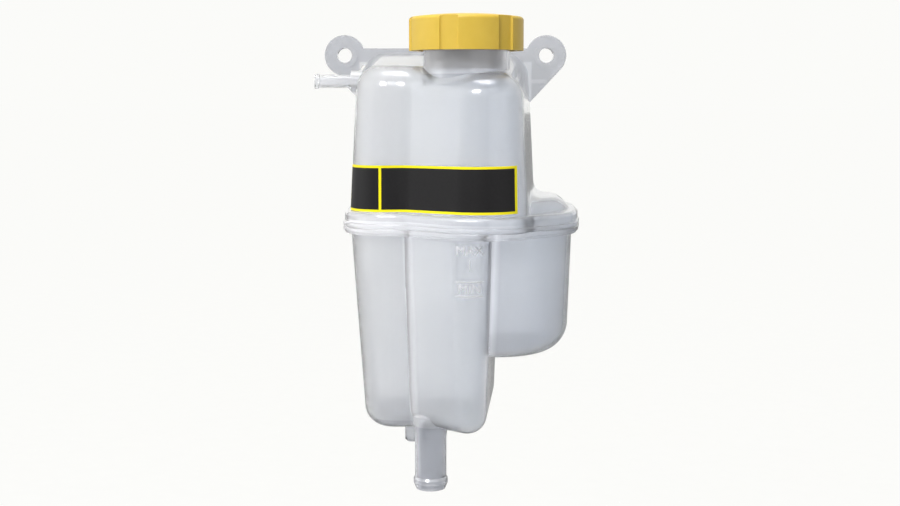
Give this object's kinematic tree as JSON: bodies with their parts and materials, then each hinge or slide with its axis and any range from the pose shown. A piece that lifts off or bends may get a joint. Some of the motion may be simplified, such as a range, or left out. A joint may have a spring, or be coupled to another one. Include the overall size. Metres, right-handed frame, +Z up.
{
  "type": "coolant expansion tank",
  "caption": "Lobed translucent coolant expansion tank welded from half shells, with bolt-on ears, a hose outlet, a bleed nipple and a screw cap that holds a pressure and vacuum valve.",
  "frame": {"origin": "midway between the axes of the ear holes, on the plane that the ears bolt against", "axes": "+X to the right seen from the front, -Y to the front, +Z up; the ear holes run along Y"},
  "size_m": [0.1594, 0.1105, 0.2774],
  "materials": {
    "milky_plastic": "milky translucent polypropylene, satin",
    "label_film": "printed film, satin",
    "cap_plastic": "moulded, semi-gloss",
    "dark_plastic": "moulded, matt",
    "seal_rubber": "matt",
    "spring_steel": "drawn wire",
    "valve_brass": "turned"
  },
  "bodies": {
    "tank": {"upper_shell": "milky_plastic", "lower_shell": "milky_plastic", "label": "label_film"},
    "valve_unit": {"valve_body": "dark_plastic", "upper_o_ring": "seal_rubber", "lower_o_ring": "seal_rubber", "spring_retainer": "dark_plastic", "pressure_spring": "spring_steel"},
    "cap": {"cap_shell": "cap_plastic"},
    "pressure_valve": {"pressure_plate": "valve_brass", "pressure_seal": "seal_rubber", "vacuum_spring": "spring_steel"},
    "vacuum_valve": {"vacuum_valve": "valve_brass", "vacuum_seal": "seal_rubber", "vacuum_clip": "spring_steel"}
  },
  "joints": [
    {"name": "cap_lift", "type": "slide", "parent": "tank", "child": "valve_unit", "axis": [0, 0, 1], "range_m": [0, 0.01]},
    {"name": "cap_turn", "type": "hinge", "parent": "valve_unit", "child": "cap", "pos_m": [0.0122, -0.065, 0], "axis": [0, 0, 1], "range_deg": [0, 720]},
    {"name": "pressure_lift", "type": "slide", "parent": "valve_unit", "child": "pressure_valve", "axis": [0, 0, 1], "range_m": [0, 0.002], "stiffness_N_per_m": 400, "deforming": ["pressure_spring"]},
    {"name": "vacuum_drop", "type": "slide", "parent": "pressure_valve", "child": "vacuum_valve", "axis": [0, 0, -1], "range_m": [0, 0.0015], "stiffness_N_per_m": 30, "springref_m": -0.001, "deforming": ["vacuum_spring"]}
  ],
  "couplings": [
    {"joint": "cap_lift", "follows": "cap_turn", "m_per_rad": 0.00079577}
  ]
}
